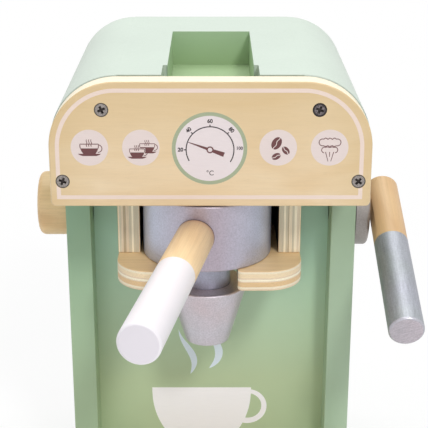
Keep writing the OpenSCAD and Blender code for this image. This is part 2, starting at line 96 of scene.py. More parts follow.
class Finish:
    """One material: a Principled surface and the nodes that drive it.

    Turn is the rotation of the pattern's own space in the object.
    """

    def __init__(self, name, colour, roughness, turn=(0, 0, 0), metallic=0.0):
        self.turn = turn
        self.material = bpy.data.materials.new(name)
        self.material.use_nodes = True
        self.material.diffuse_color = colour
        self.tree = self.material.node_tree
        self.surface = self.tree.nodes["Principled BSDF"]
        self.surface.inputs["Metallic"].default_value = metallic
        self.dress(colour, roughness)

    def feed(self, socket, value):
        if isinstance(value, bpy.types.NodeSocket):
            self.tree.links.new(value, socket)
        else:
            socket.default_value = value

    def dress(self, colour, roughness=None):
        """Gives the surface its colour and roughness, each a value or a node's output."""
        self.feed(self.surface.inputs["Base Color"], colour)
        if roughness is not None:
            self.feed(self.surface.inputs["Roughness"], roughness)

    def node(self, kind, inputs, **settings):
        made = self.tree.nodes.new("ShaderNode" + kind)
        for name, value in settings.items():
            setattr(made, name, value)
        for socket, value in inputs.items():
            self.feed(made.inputs[socket], value)
        return made

    def noise(self, scale, detail, roughness=0.5, distortion=0.0, shift=(0, 0, 0)):
        """Noise in the object's own space, with scale in cycles per millimetre on each axis."""
        place = self.node("TexCoord", {}).outputs["Object"]
        place = self.node("Mapping", {"Vector": place, "Scale": [MM / s for s in scale],
                                      "Rotation": self.turn}, vector_type="TEXTURE")
        place = self.node("Mapping", {"Vector": place.outputs[0], "Location": shift})
        made = self.node("TexNoise", {"Vector": place.outputs[0], "Scale": 1.0, "Detail": detail,
                                      "Roughness": roughness, "Distortion": distortion})
        return made.outputs[0]

    def position(self, axis):
        """Coordinate along one axis of the object's own space, in metres."""
        place = self.node("TexCoord", {}).outputs["Object"]
        return self.node("SeparateXYZ", {"Vector": place}).outputs[axis]

    def math(self, operation, a, b=0.0):
        return self.node("Math", {0: a, 1: b}, operation=operation).outputs[0]

    def distance(self, centre, plane):
        """Distance from a centre, measured in one plane such as XZ, in metres."""
        place = self.node("TexCoord", {}).outputs["Object"]
        mask = [float(name in plane) for name in "XYZ"]
        flat = self.node("VectorMath", {0: place, 1: mask}, operation="MULTIPLY").outputs[0]
        middle = [c * m for c, m in zip(centre, mask)]
        return self.node("VectorMath", {0: flat, 1: middle}, operation="DISTANCE").outputs["Value"]

    def span(self, value, low, high, to_low=0.0, to_high=1.0):
        """Value carried from low..high to to_low..to_high, and held there."""
        made = self.node("MapRange", {"Value": value, "From Min": low, "From Max": high,
                                      "To Min": to_low, "To Max": to_high})
        return made.outputs[0]

    def spread(self, noise, to_low, to_high):
        """Noise with most of its values carried to to_low..to_high."""
        return self.span(noise, *MIDDLE, to_low, to_high)

    def ramp(self, factor, stops, interpolation="LINEAR"):
        made = self.node("ValToRGB", {"Fac": factor})
        made.color_ramp.interpolation = interpolation
        elements = made.color_ramp.elements
        while len(elements) < len(stops):
            elements.new(1.0)
        for element, (place, colour) in zip(elements, stops):
            element.position = place
            element.color = colour
        return made.outputs[0]

    def mix(self, factor, a, b, blend="MIX"):
        made = self.node("Mix", {0: factor, 6: a, 7: b}, data_type="RGBA", blend_type=blend)
        return made.outputs[2]

    def shade(self, colour, factor):
        """Colour multiplied by a factor."""
        return self.mix(1.0, colour, factor, "MULTIPLY")

    def relief(self, height, depth):
        """Bump of the given depth in metres."""
        made = self.node("Bump", {"Height": height, "Distance": depth, "Strength": 1.0})
        self.feed(self.surface.inputs["Normal"], made.outputs[0])


# ---- materials -------------------------------------------------------------
#
# Patterns are noise, their scales in cycles per millimetre: the same on all axes, or
# (across, along) the grain. Depths are those of the relief that some of them make.

PATCHES = [0.02] * 3
PEEL = [0.9] * 3
FIGURE = (0.055, 0.012)
STREAKS_ACROSS = 0.9
PORES = (4.5, 0.3)
PLY_DRIFT = (0.05, 0.02)
FIBRES = (3.2, 0.1)
SPECKLE = [2.6] * 3
FLAKES = [1.1] * 3
CLOUDS = [0.03] * 3
DOWEL_GRAIN = (1.3, 0.09)
SCUFFS = [2.2] * 3
INK_GRAIN = (2.5, 0.12)

PEEL_DEPTH = 0.02 * MM
PORE_DEPTH = 0.015 * MM
FIBRE_DEPTH = 0.02 * MM
SILVER_DEPTH = 0.03 * MM
SCUFF_DEPTH = 0.02 * MM
INK_DEPTH = 0.008 * MM

# Painted shadow along the roof's joint with the panel: how far it reaches and its darkest shade.
SEAM_SHADOW_REACH = 0.9 * MM
SEAM_SHADOW_DARK = 0.66
# Darker, yellower tone that the panel's varnish turns to towards its top and ends.
FADE_TONE = srgb(212, 184, 132)
# Painted shade round the handle where it enters the bowl: a dark line and a warm band.
JOINT_SHADOW_LINE = srgb(104, 66, 46)
JOINT_SHADOW_REACH = (0.4 * MM, 1.3 * MM)
JOINT_WARM_SHADE = srgb(224, 170, 120)
JOINT_WARM_SHADE_REACH = 5 * MM
JOINT_WARM_SHADE_SHARE = 0.7
# Painted shadow in the gap round each screw head: its darkest shade.
HEAD_GAP_SHADOW = 0.16


def painted(name, colour, roughness=0.45, gloss=0.5, seam=None, upper=None):
    """Satin paint rolled on board: a little uneven, with a fine orange peel.

    Seam is the Y of a joint along which the paint is dark: a painted shadow in the groove there.
    Upper (tone, from, to) is the tone that the paint takes on between two heights: painted light
    and shade.
    """
    m = Finish(name, colour, roughness)
    m.surface.inputs["Specular IOR Level"].default_value = gloss
    patches = m.noise(PATCHES, detail=3)
    peel = m.noise(PEEL, detail=3)
    tint = m.spread(patches, 0.96, 1.03)
    # Painted shadow along the seam.
    if seam is not None:
        joint = m.span(m.position("Y"), seam, seam + SEAM_SHADOW_REACH, SEAM_SHADOW_DARK, 1.0)
        tint = m.math("MULTIPLY", tint, joint)
    # Painted light and shade that change with height.
    if upper:
        tone, low, high = upper
        colour = m.mix(m.span(m.position("Z"), low, high), colour, tone)
    m.dress(m.shade(colour, tint), m.spread(peel, roughness - 0.05, roughness + 0.07))
    m.relief(peel, PEEL_DEPTH)
    return m.material


def varnished(name, pale, warm, axis, depth, run=0.018, shift=(0, 0, 0), turn=(0, 0, 0),
              fades=(), socket=None):
    """Clear-varnished wood whose grain runs along one axis: broad figure, streaks and short pores.

    Depth is the shade of its darkest streaks. Run is how many streaks follow each other in a
    millimetre along the grain. Each fade (axis, from, to, share) carries the wood towards a darker,
    yellower tone at an end. Socket is the upright cylinder (centre, radius) that the wood enters;
    round the joint it gets a painted shadow line and a warm painted shade.
    """
    roughness = 0.42
    m = Finish(name, pale, roughness, turn)
    figure = m.noise(axis_scale(axis, *FIGURE), detail=3, distortion=0.8, shift=shift)
    streaks = m.noise(axis_scale(axis, STREAKS_ACROSS, run), detail=5, roughness=0.65, shift=shift)
    pores = m.noise(axis_scale(axis, *PORES), detail=1, shift=shift)
    colour = m.ramp(figure, [(0.35, pale), (0.66, warm)])
    colour = m.shade(colour, m.span(streaks, 0.42, 0.75, 1.0, depth))
    colour = m.shade(colour, m.span(pores, 0.62, 0.74, 1.0, depth))
    for fade_axis, near, far, share in fades:
        place = m.math("ABSOLUTE", m.position(fade_axis))
        colour = m.mix(m.span(place, near, far, 0.0, share), colour, FADE_TONE)
    # Painted shade round the joint: a warm band, then a dark line.
    if socket:
        centre, radius = socket
        off = m.distance(centre, "XY")
        clear = m.span(off, radius, radius + JOINT_WARM_SHADE_REACH, 1 - JOINT_WARM_SHADE_SHARE)
        colour = m.mix(clear, JOINT_WARM_SHADE, colour)
        clear = m.span(off, *(radius + reach for reach in JOINT_SHADOW_REACH))
        colour = m.mix(clear, JOINT_SHADOW_LINE, colour)
    m.dress(colour, m.spread(streaks, roughness - 0.04, roughness + 0.1))
    m.relief(pores, PORE_DEPTH)
    return m.material


def plies(name, axis, low, high, grain_axis, layers, wobble=0.16 * MM):
    """Sanded edge of plywood. Layers lists (share of the thickness, colour) from low to high.

    Wobble is how far the layers swing from their even places.
    """
    m = Finish(name, layers[0][1], 0.5)
    drift = m.noise(axis_scale(grain_axis, *PLY_DRIFT), detail=3)
    along = m.math("ADD", m.position(axis), m.spread(drift, -wobble, wobble))
    depth = m.span(along, low, high)
    stops, place = [], 0.0
    for share, colour in layers:
        stops.append((place, colour))
        place += share
    colour = m.ramp(depth, stops, "CONSTANT")
    fibres = m.noise(axis_scale(grain_axis, *FIBRES), detail=3, roughness=0.6)
    speckle = m.noise(SPECKLE, detail=2)
    colour = m.shade(colour, m.span(fibres, 0.35, 0.7, 1.05, 0.86))
    colour = m.shade(colour, m.span(speckle, 0.5, 0.8, 1.0, 0.88))
    m.dress(colour)
    m.relief(fibres, FIBRE_DEPTH)
    return m.material


def silvered(name, cool, warm, roughness=0.42, metal=0.7, streak_axis=None, turn=(0, 0, 0),
             belt=None):
    """Silver metallic paint with a fine sparkle; on a dowel the grain shows through as streaks.

    Belt (centre, near, far) keeps the warm tone to a belt in X and gives the rest the cool one:
    painted reflection and highlight in bands; otherwise both tones cloud it.
    """
    m = Finish(name, cool, roughness, turn, metal)
    flakes = m.noise(FLAKES, detail=5, roughness=0.8)
    # Painted reflection and highlight: the tones split in bands along X.
    if belt:
        centre, near, far = belt
        off = m.math("ABSOLUTE", m.math("SUBTRACT", m.position("X"), centre))
        colour = m.mix(m.span(off, near, far, 0.9, 0.1), cool, warm)
    else:
        colour = m.mix(m.span(m.noise(CLOUDS, detail=2), 0.35, 0.65), cool, warm)
    colour = m.shade(colour, m.spread(flakes, 0.78, 1.2))
    height = flakes
    if streak_axis:
        height = m.noise(axis_scale(streak_axis, *DOWEL_GRAIN), detail=5, roughness=0.75)
        colour = m.shade(colour, m.spread(height, 0.8, 1.16))
    m.dress(colour, m.spread(flakes, roughness - 0.06, roughness + 0.1))
    m.relief(height, SILVER_DEPTH)
    return m.material


def zinc(name, colour, roughness=0.38, heads=(), rim=0.0, worn=(0.7, 1.15)):
    """Zinc-plated steel, scuffed by the screwdriver: worn gives its darkest and lightest shade.

    Heads (centre, radius) get a dark rim of a given width: a painted shadow in the gap round each head.
    """
    m = Finish(name, colour, roughness, metallic=0.9)
    scuffs = m.noise(SCUFFS, detail=5, roughness=0.7)
    tint = m.span(scuffs, 0.35, 0.65, *worn)
    # Painted shadow ring in the gap round each head.
    for centre, radius in heads:
        off = m.distance(centre, "XZ")
        ring = m.span(off, radius - rim, radius - rim / 3, 1.0, HEAD_GAP_SHADOW)
        ring = m.math("MAXIMUM", ring, m.span(off, radius, radius + rim))
        tint = m.math("MULTIPLY", tint, ring)
    m.dress(m.shade(colour, tint), m.spread(scuffs, roughness - 0.1, roughness + 0.15))
    m.relief(scuffs, SCUFF_DEPTH)
    return m.material


def printed(name, colour, wear=0.06):
    """Screen-printed ink; wear is how much darker it is where the grain below stands up."""
    m = Finish(name, colour, 0.5)
    thin = m.noise(axis_scale("X", *INK_GRAIN), detail=3)
    m.dress(m.shade(colour, m.span(thin, 0.35, 0.7, 1.0 + wear / 2, 1.0 - wear)))
    m.relief(thin, INK_DEPTH)
    return m.material


MINT = srgb(173, 194, 163)
# One green paint in lit and shaded copies: painted light on the roof's top, painted shade on its shoulders and
# inside the hopper.
TOP_LIT_MINT = srgb(191, 205, 192)
SHOULDER_SHADED_MINT = srgb(146, 175, 148)
HOPPER_SHADED_MINT = srgb(154, 178, 132)
IVORY = srgb(252, 242, 216)
CREAM = srgb(244, 230, 202)
SAND = srgb(234, 210, 180)
TAN = srgb(230, 196, 148)
ROSE = srgb(230, 213, 186)
WARM_PLY = srgb(242, 220, 182)
BEIGE = srgb(214, 204, 180)
BROWN = srgb(189, 171, 142)

# Heights between which the green drifts between painted lit and shaded tones, and places where
# the panel's varnish turns darker and yellower.
SHOULDER_DRIFT = (236 * MM, 257 * MM)
HOPPER_DRIFT = (250 * MM, 275 * MM)
BOARD_DRIFT = (70 * MM, 200 * MM)
PANEL_FADES = [("Z", 230 * MM, 268 * MM, 0.5), ("X", 56 * MM, 80 * MM, 0.45)]

HANDLE_TURN = math.radians(10)
LEVER_SLOPE = math.radians(18.5)
BOWL_X, BOWL_Y = ((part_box("portafilter_bowl")[0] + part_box("portafilter_bowl")[1]) / 2)[:2]

# The roof: painted light on top, painted shade on the shoulders, painted shadow along the panel.
roof_lit_and_shaded_mint = painted("roof_lit_and_shaded_mint", SHOULDER_SHADED_MINT, 0.38, 0.8, seam=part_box("front_panel")[1].y,
                    upper=(TOP_LIT_MINT, *SHOULDER_DRIFT))
# Painted shade inside the hopper, lighter towards its top.
hopper_shaded_mint = painted("hopper_shaded_mint", HOPPER_SHADED_MINT, upper=(srgb(172, 198, 163), *HOPPER_DRIFT))
mint_paint = painted("mint_paint", MINT)
# Painted shade on the side boards: darker above, under the head, and darker on the left board.
left_shaded_mint = painted("left_shaded_mint", srgb(168, 190, 154), upper=(srgb(136, 172, 144), *BOARD_DRIFT))
right_shaded_mint = painted("right_shaded_mint", srgb(177, 200, 171), upper=(srgb(156, 179, 152), *BOARD_DRIFT))
# Painted light and shade on the splash board: lighter than the other greens, yellower below and bluer above.
splash_lit_and_shaded_mint = painted("splash_lit_and_shaded_mint", srgb(186, 203, 163), upper=(srgb(166, 211, 194), *BOARD_DRIFT))
black_paint = painted("black_paint", srgb(16, 16, 17), 0.7)
white_paint = painted("white_paint", srgb(240, 236, 241), 0.35)

panel_face = varnished("panel_face", srgb(237, 214, 178), srgb(230, 202, 160), "X", 0.95, 0.06,
                       fades=PANEL_FADES)
veneer = varnished("veneer", srgb(246, 213, 166), srgb(232, 194, 144), "X", 0.9)
beech_x = varnished("beech_along_x", srgb(240, 208, 158), srgb(224, 187, 137), "X", 0.88)
beech_z = varnished("beech_along_z", srgb(232, 196, 146), srgb(216, 176, 124), "Z", 0.86)
lever_beech = varnished("lever_beech", srgb(222, 187, 140), srgb(208, 168, 121), "Y", 0.9,
                        shift=(3, 1, 2), turn=(LEVER_SLOPE, 0, 0))

# The bowl's silver carries a painted reflection; the neck, spout and hub get lit and shaded copies: painted shade
# on the neck and hub with a painted highlight on the neck, painted light on the spout.
silver_paint = silvered("silver_paint", srgb(190, 196, 213), srgb(178, 165, 176),
                        belt=(BOWL_X, 6 * MM, 28 * MM))
neck_lit_and_shaded_silver = silvered("neck_lit_and_shaded_silver", srgb(158, 160, 171), srgb(184, 184, 204),
                       belt=(BOWL_X - 14 * MM, 4 * MM, 26 * MM))
spout_lit_silver = silvered("spout_lit_silver", srgb(203, 200, 209), srgb(204, 192, 198))
hub_shaded_silver = silvered("hub_shaded_silver", srgb(154, 149, 146), srgb(162, 154, 150))
lever_silver = silvered("lever_silver", srgb(167, 172, 175), srgb(170, 172, 181), 0.54, 0.8,
                        streak_axis="Y", turn=(LEVER_SLOPE, 0, 0))
end_silver = silvered("end_silver", srgb(188, 182, 189), srgb(198, 187, 195), 0.5, 0.5,
                      streak_axis="X", turn=(LEVER_SLOPE, math.radians(-25), 0))
# Painted highlight on the rounded edge round the lever's end.
rim_highlight_silver = silvered("rim_highlight_silver", srgb(180, 182, 192), srgb(184, 182, 190), 0.34, 0.7)
# Painted shade on the ledge's edge inside its opening round the bowl.
shaded_ply = painted("shaded_ply", srgb(50, 40, 30), 0.6)
# Shaded copy of the white paint for the handle's end: painted shade.
end_shaded_white = painted("end_shaded_white", srgb(230, 225, 232), 0.5)
screw_zinc = zinc("screw_zinc", srgb(168, 162, 155))
# Painted shade in the screws' recesses.
recess_painted_shade = zinc("recess_painted_shade", srgb(84, 78, 76), 0.6)

print_white = printed("print_white", srgb(230, 215, 211), 0.02)
dial_white = printed("dial_white", srgb(232, 221, 222), 0.02)
print_cream = printed("print_cream", srgb(238, 218, 206), 0.03)
print_sage = printed("print_sage", srgb(166, 176, 146))
print_brown = printed("print_brown", srgb(106, 62, 63))
print_black = printed("print_black", srgb(44, 34, 40))
print_grey = printed("print_grey", srgb(104, 94, 100))
splash_white = printed("splash_white", srgb(254, 251, 252), 0.02)
steam_white = printed("steam_white", srgb(226, 238, 248), 0.02)

# ---- pieces ----------------------------------------------------------------

WELD = 0.002 * MM
FLAT = math.radians(0.4)
SHARP = math.radians(38)
SEAM = 0.02 * MM
SCREW_CLEAR = 1.0 * MM
ROUNDING_STEPS = 3

# How much of a face's normal points along an axis: a face that looks along it has more than
# FACING, a rounded corner about SLANTED, and one that looks across it less than ASIDE.
FACING, SLANTED, ASIDE = 0.9, 0.7, 0.1


def body_of_node(node):
    for body, members in frame["record"]["behaviour"]["bodies"].items():
        if node in members:
            return body


def slot_of_node(node):
    for part in frame["record"]["subparts"]:
        if part["node"] == node:
            return part["material_slot"]


def welded(node):
    """Bmesh of a CAD node with its triangles joined."""
    shape = bmesh.new()
    shape.from_mesh(frame["nodes"][node].data)
    bmesh.ops.remove_doubles(shape, verts=shape.verts, dist=WELD)
    return shape


def islands(node):
    """Box of each separate solid of a CAD node."""
    shape = welded(node)
    seen, boxes = set(), []
    for start in shape.verts:
        if start in seen:
            continue
        seen.add(start)
        found, edge = [start], [start]
        while edge:
            vert = edge.pop()
            near = {e.other_vert(vert) for e in vert.link_edges}
            fresh = [v for v in near if v not in seen]
            seen.update(fresh)
            found += fresh
            edge += fresh
        boxes.append([Vector(f(v.co[i] for v in found) for i in range(3)) for f in (min, max)])
    shape.free()
    return boxes


SCREWS = {node: islands(node)
          for node in ("front_screws", "base_screws", "rear_screws", "ledge_screws")}


def beside_screw(point):
    """Whether a point is in or just beside a screw."""
    return any(all(low[i] - SCREW_CLEAR < point[i] < high[i] + SCREW_CLEAR for i in range(3))
               for boxes in SCREWS.values() for low, high in boxes)


def keep(shape, name, materials):
    """Object from a bmesh, shaded smooth over its soft edges."""
    mesh = bpy.data.meshes.new(name)
    shape.to_mesh(mesh)
    shape.free()
    for material in materials:
        mesh.materials.append(material)
    mesh.shade_smooth()
    mesh.set_sharp_from_angle(angle=SHARP)
    piece = bpy.data.objects.new(name, mesh)
    bpy.context.scene.collection.objects.link(piece)
    return piece


def soften(node, radius, materials, seams=(), choose=None):
    """Copy of a CAD node with rounded edges, in place of the node.

    Edges in a seam plane, given as (axis, place), and edges beside a screw stay sharp.
    Choose gives the number of a face's material from its normal and its centre.
    """
    shape = welded(node)
    bmesh.ops.dissolve_limit(shape, angle_limit=FLAT, verts=shape.verts, edges=shape.edges)

    def in_seam(edge):
        return any(all(abs(v.co["XYZ".index(axis)] - place) < SEAM for v in edge.verts)
                   for axis, place in seams)

    def wanted(edge):
        if len(edge.link_faces) != 2 or edge.calc_face_angle() < SHARP or in_seam(edge):
            return False
        return not beside_screw((edge.verts[0].co + edge.verts[1].co) / 2)

    edges = [edge for edge in shape.edges if wanted(edge)]
    if edges:
        bmesh.ops.bevel(shape, geom=edges, offset=radius, offset_type="OFFSET", affect="EDGES",
                        segments=ROUNDING_STEPS, profile=0.5, clamp_overlap=True)
    shape.normal_update()
    if choose:
        for face in shape.faces:
            face.material_index = choose(face.normal, face.calc_center_median())
    piece = keep(shape, node + "_finished", materials)
    piece.modifiers.new("even shading", "WEIGHTED_NORMAL").keep_sharp = True
    return stand_for(piece, node)


def stand_for(piece, node):
    """Piece shown in place of a CAD node, on its body."""
    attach(piece, body_of_node(node))
    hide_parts(node)
    slot_of_node(node)
    return piece


def finish_node(node, material):
    """Gives a CAD node that stays as it is its material."""
    for place in frame["nodes"][node].material_slots:
        place.material = material


def across(axis):
    """Chooser: 1 where a face looks across the board's thickness axis, else 0."""
    return lambda normal, centre: int(abs(normal["XYZ".index(axis)]) < SLANTED)


# ---- flat shapes for the prints --------------------------------------------
#
# A loop is a list of points in millimetres, a shape is a loop followed by the loops of
# its holes, and a print is a list of shapes, which may overlap.

INK = 0.04 * MM
OVERLAP_STEP = 0.05


def steps_between(start, end, count):
    """Evenly spaced values from start to end, both included."""
    return [start + (end - start) * i / count for i in range(count + 1)]


def arc(x, y, radius, start, end, steps=48, squash=1.0):
    """Points on an arc round (x, y), with its angles in degrees."""
    turns = [math.radians(turn) for turn in steps_between(start, end, steps)]
    return [(x + radius * math.cos(t), y + radius * squash * math.sin(t)) for t in turns]


def circle(x, y, radius, steps=96, squash=1.0):
    return arc(x, y, radius, 0, 360, steps, squash)[:-1]


def bumps(x_from, x_to, y, swell, count):
    """Row of small arches between two places at the height y."""
    steps = 10
    return [(x, y + swell * abs(math.sin(math.pi * i / steps)))
            for i, x in enumerate(steps_between(x_from, x_to, count * steps))]


def bezier(points):
    """Points along the curve that four control points give."""
    weights = (lambda t: (1 - t) ** 3, lambda t: 3 * t * (1 - t) ** 2,
               lambda t: 3 * t * t * (1 - t), lambda t: t ** 3)
    return [tuple(sum(weight(t) * point[k] for weight, point in zip(weights, points)) for k in (0, 1))
            for t in steps_between(0, 1, 32)]


def ribbon(points, widths, closed=False):
    """Shape of a line along the points, with a width at each."""
    count = len(points)
    left, right = [], []
    for i, ((x, y), width) in enumerate(zip(points, widths)):
        before = points[i - 1] if i or closed else points[0]
        after = points[(i + 1) % count] if i < count - 1 or closed else points[-1]
        dx, dy = after[0] - before[0], after[1] - before[1]
        reach = width / 2 / math.hypot(dx, dy)
        left.append((x - dy * reach, y + dx * reach))
        right.append((x + dy * reach, y - dx * reach))
    return [left, right] if closed else [left + right[::-1]]


def stroke(points, width, end_width=None, closed=False):
    """Shape of a line along the points; its width may change evenly towards its end."""
    end_width = width if end_width is None else end_width
    return ribbon(points, steps_between(width, end_width, len(points) - 1), closed)


def moved(shapes, x, y, turn=0.0, size=1.0):
    """Shapes scaled, turned by an angle in degrees and moved."""
    cos, sin = math.cos(math.radians(turn)) * size, math.sin(math.radians(turn)) * size
    return [[[(x + px * cos - py * sin, y + px * sin + py * cos) for px, py in loop]
             for loop in shape] for shape in shapes]


def lettering(text, height, weight):
    """Curve of a short text, centred on the origin, its strokes grown by a weight on each side."""
    data = bpy.data.curves.new(text, "FONT")
    data.body = text
    data.size = height * MM
    data.offset = weight * MM
    data.align_x = "CENTER"
    data.align_y = "CENTER"
    return data


def outline(name, loops):
    """Flat curve filled inside its loops."""
    data = bpy.data.curves.new(name, "CURVE")
    data.dimensions = "2D"
    data.fill_mode = "BOTH"
    for loop in loops:
        spline = data.splines.new("POLY")
        spline.points.add(len(loop) - 1)
        for point, (x, y) in zip(spline.points, loop):
            point.co = (x * MM, y * MM, 0, 1)
        spline.use_cyclic_u = True
    return data


def film(data, rise):
    """Mesh of a flat curve thickened to one film of ink, raised by a number of films."""
    data.extrude = INK / 2
    source = bpy.data.objects.new(data.name, data)
    bpy.context.scene.collection.objects.link(source)
    bpy.context.view_layer.update()
    mesh = bpy.data.meshes.new_from_object(source.evaluated_get(bpy.context.evaluated_depsgraph_get()))
    bpy.data.objects.remove(source)
    mesh.transform(Matrix.Translation((0, 0, (rise + 0.5) * INK)))
    return mesh


def pressed(name, curves, material, place, level=0):
    """Ink piece made of flat curves, laid on its board; level films of ink lie under it."""
    shape = bmesh.new()
    for number, data in enumerate(curves):
        mesh = film(data, level + number * OVERLAP_STEP / len(curves))
        shape.from_mesh(mesh)
        bpy.data.meshes.remove(mesh)
    bmesh.ops.remove_doubles(shape, verts=shape.verts, dist=INK / 1000)
    bmesh.ops.recalc_face_normals(shape, faces=shape.faces)
    piece = keep(shape, name, [material])
    piece.matrix_world = place
    return piece


def plate(name, shapes, material, place, level=0):
    """Ink piece made of shapes."""
    return pressed(name, [outline(name, loops) for loops in shapes], material, place, level)


def on_wall(x, y, z):
    """Place on a wall that faces the front: local X runs right, Y up and Z to the front."""
    return Matrix.Translation((x, y, z)) @ Matrix.Rotation(math.pi / 2, 4, "X")


def printed_on(pieces):
    for piece in pieces:
        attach(piece, "case")


# ---- case ------------------------------------------------------------------

PANEL_LOW, PANEL_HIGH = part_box("front_panel")
PANEL_MIDDLE = (PANEL_LOW + PANEL_HIGH) / 2
SHOULDER_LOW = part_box("right_shoulder")[0]
ROOF_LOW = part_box("roof_board")[0]
TRAY_LOW, TRAY_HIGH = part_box("hopper_tray")
LEDGE_LOW, LEDGE_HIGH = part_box("group_ledge")
GRATE_LOW, GRATE_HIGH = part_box("drip_grate")
SPLASH_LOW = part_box("splash_board")[0]
TRAY_WALL = 3 * MM
# Faces of the ledge nearer to the bowl's axis than this are inside its opening, and faces of a
# front screw further behind the panel's face than this are in its recess.
LEDGE_OPENING = 34 * MM
RECESS_DEPTH = 0.2 * MM

BOARD_EDGE = 0.7 * MM
PANEL_EDGE = 1.0 * MM
PLY_EDGE = 0.6 * MM
SPOUT_EDGE = 0.5 * MM

# Plies from low to high: share of the thickness and colour.
PANEL_LAYERS = [(0.16, IVORY), (0.1, CREAM), (0.18, IVORY), (0.12, CREAM), (0.18, IVORY),
                (0.1, CREAM), (0.16, IVORY)]
LEFT_LAYERS = [(0.07, CREAM), (0.08, BEIGE), (0.09, ROSE), (0.12, BROWN), (0.14, ROSE),
               (0.12, BEIGE), (0.09, IVORY), (0.22, BEIGE), (0.07, ROSE)]
RIGHT_LAYERS = [(0.11, BEIGE), (0.13, BEIGE), (0.09, IVORY), (0.1, BEIGE), (0.05, BROWN),
                (0.13, CREAM), (0.1, BEIGE), (0.12, IVORY), (0.1, ROSE), (0.07, CREAM)]
LEDGE_LAYERS = [(0.1, SAND), (0.1, CREAM), (0.24, TAN), (0.05, SAND), (0.1, IVORY), (0.07, SAND),
                (0.2, WARM_PLY), (0.14, CREAM)]
GRATE_LAYERS = [(0.34, CREAM), (0.32, BEIGE), (0.34, CREAM)]
CHEEK_WOBBLE = 0.1 * MM


def inside_hopper(normal, centre):
    """Chooser: 1 on the walls and the floor of the hopper, else 0."""
    wall = (abs(normal.z) < 0.5 and centre.y < TRAY_HIGH.y - TRAY_WALL + SEAM
            and abs(centre.x) < TRAY_HIGH.x - TRAY_WALL + SEAM)
    return int(wall or (normal.z > 0.5 and centre.z < TRAY_LOW.z + 2 * TRAY_WALL))


def dress_case():
    spring, side = SHOULDER_LOW.z, SHOULDER_LOW.x
    top_seams = [("Z", spring), ("X", side), ("X", -side)]
    tray_seam = [("Z", ROOF_LOW.z), ("Y", TRAY_HIGH.y - TRAY_WALL)]
    floor_seam = [("Z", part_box("left_side")[0].z)]
    soften("base_board", BOARD_EDGE, [mint_paint])
    # Lit and shaded copies of the green go on the sides, the roof, the hopper, the rear panel and the splash
    # board.
    for node, paint in (("left_side", left_shaded_mint), ("right_side", right_shaded_mint)):
        soften(node, BOARD_EDGE, [paint], top_seams + floor_seam)
    for node in ("left_shoulder", "right_shoulder"):
        soften(node, BOARD_EDGE, [roof_lit_and_shaded_mint], top_seams)
    soften("roof_board", BOARD_EDGE / 2, [roof_lit_and_shaded_mint, hopper_shaded_mint], top_seams + tray_seam,
           choose=inside_hopper)
    soften("hopper_tray", BOARD_EDGE / 2, [mint_paint, hopper_shaded_mint], tray_seam, choose=inside_hopper)
    soften("rear_panel", BOARD_EDGE, [right_shaded_mint], floor_seam)
    finish_node("head_floor", mint_paint)
    finish_node("splash_board", splash_lit_and_shaded_mint)
    finish_node("group_back", black_paint)
    finish_node("rear_cleats", beech_z)


def dress_cheek(node, layers, inward):
    """Cheek with a black inner face, which looks along X in the direction inward, 1 or -1."""
    low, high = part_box(node)
    edge = plies(node + "_plies", "X", low.x, high.x, "Z", layers, CHEEK_WOBBLE)
    faced = across("X")

    def choose(normal, centre):
        return 2 if normal.x * inward > FACING else faced(normal, centre)
    soften(node, PLY_EDGE, [veneer, edge, black_paint], choose=choose)


def dress_ledge():
    """Ledge whose edge is dark inside, round the bowl: painted shade."""
    edge = plies("ledge_plies", "Z", LEDGE_LOW.z, LEDGE_HIGH.z, "X", LEDGE_LAYERS)
    faced = across("Z")

    def choose(normal, centre):
        inward = Vector((BOWL_X - centre.x, BOWL_Y - centre.y, 0.0))
        if abs(normal.z) < ASIDE and inward.length < LEDGE_OPENING and normal.dot(inward) > 0:
            return 2
        return faced(normal, centre)
    soften("group_ledge", PLY_EDGE, [veneer, edge, shaded_ply], choose=choose)


def dress_plywood():
    panel_plies = plies("panel_plies", "Y", PANEL_LOW.y, PANEL_HIGH.y, "X", PANEL_LAYERS)
    soften("front_panel", PANEL_EDGE, [panel_face, panel_plies], choose=across("Y"))
    dress_cheek("left_cheek", LEFT_LAYERS, 1)
    dress_cheek("right_cheek", RIGHT_LAYERS, -1)
    dress_ledge()
    grate_plies = plies("grate_plies", "Z", GRATE_LOW.z, GRATE_HIGH.z, "X", GRATE_LAYERS)
    soften("drip_grate", PLY_EDGE / 2, [veneer, grate_plies], choose=across("Z"))


def dress_screws():
    """Heads with painted shade in recesses and round rims; one head in the panel is darker than the rest."""
    def choose(normal, centre):
        if centre.y > PANEL_LOW.y + RECESS_DEPTH:
            return 2
        return int(centre.x > 0 and centre.z > PANEL_MIDDLE.z)
    heads = [((low + high) / 2, (high.x - low.x) / 2) for low, high in SCREWS["front_screws"]]
    bright = zinc("head_zinc", srgb(158, 151, 147), 0.38, heads, rim=0.7 * MM, worn=(0.5, 1.3))
    dark = zinc("head_dark", srgb(124, 116, 118), 0.34, heads, rim=1.7 * MM, worn=(0.25, 1.9))
    soften("front_screws", 0.0, [bright, dark, recess_painted_shade], choose=choose)
    for node in ("base_screws", "rear_screws", "ledge_screws", "knob_screw", "lever_screw",
                 "knob_washer", "lever_washer"):
        finish_node(node, screw_zinc)


# ---- print on the front panel ----------------------------------------------
#
# In millimetres: X from the middle of the panel, Y from its lower edge.

PRINT_SHIFT = -0.5 * MM
LINE_SIDE = 4.85
LINE_TOP = 4.6
LINE_FOOT = 5.0
LINE_WIDTH = 2.1
LINE_RADIUS = 29.9
DISC_RADIUS = 9.45
DISC_HEIGHT = 31.4
DISC_INNER = 34.6
DISC_OUTER = 60.5
SCREW_ROOM = 0.15
DISCS = (-DISC_OUTER, -DISC_INNER, DISC_INNER, DISC_OUTER)

PANEL_PRINT = on_wall(PRINT_SHIFT, PANEL_LOW.y, PANEL_LOW.z)


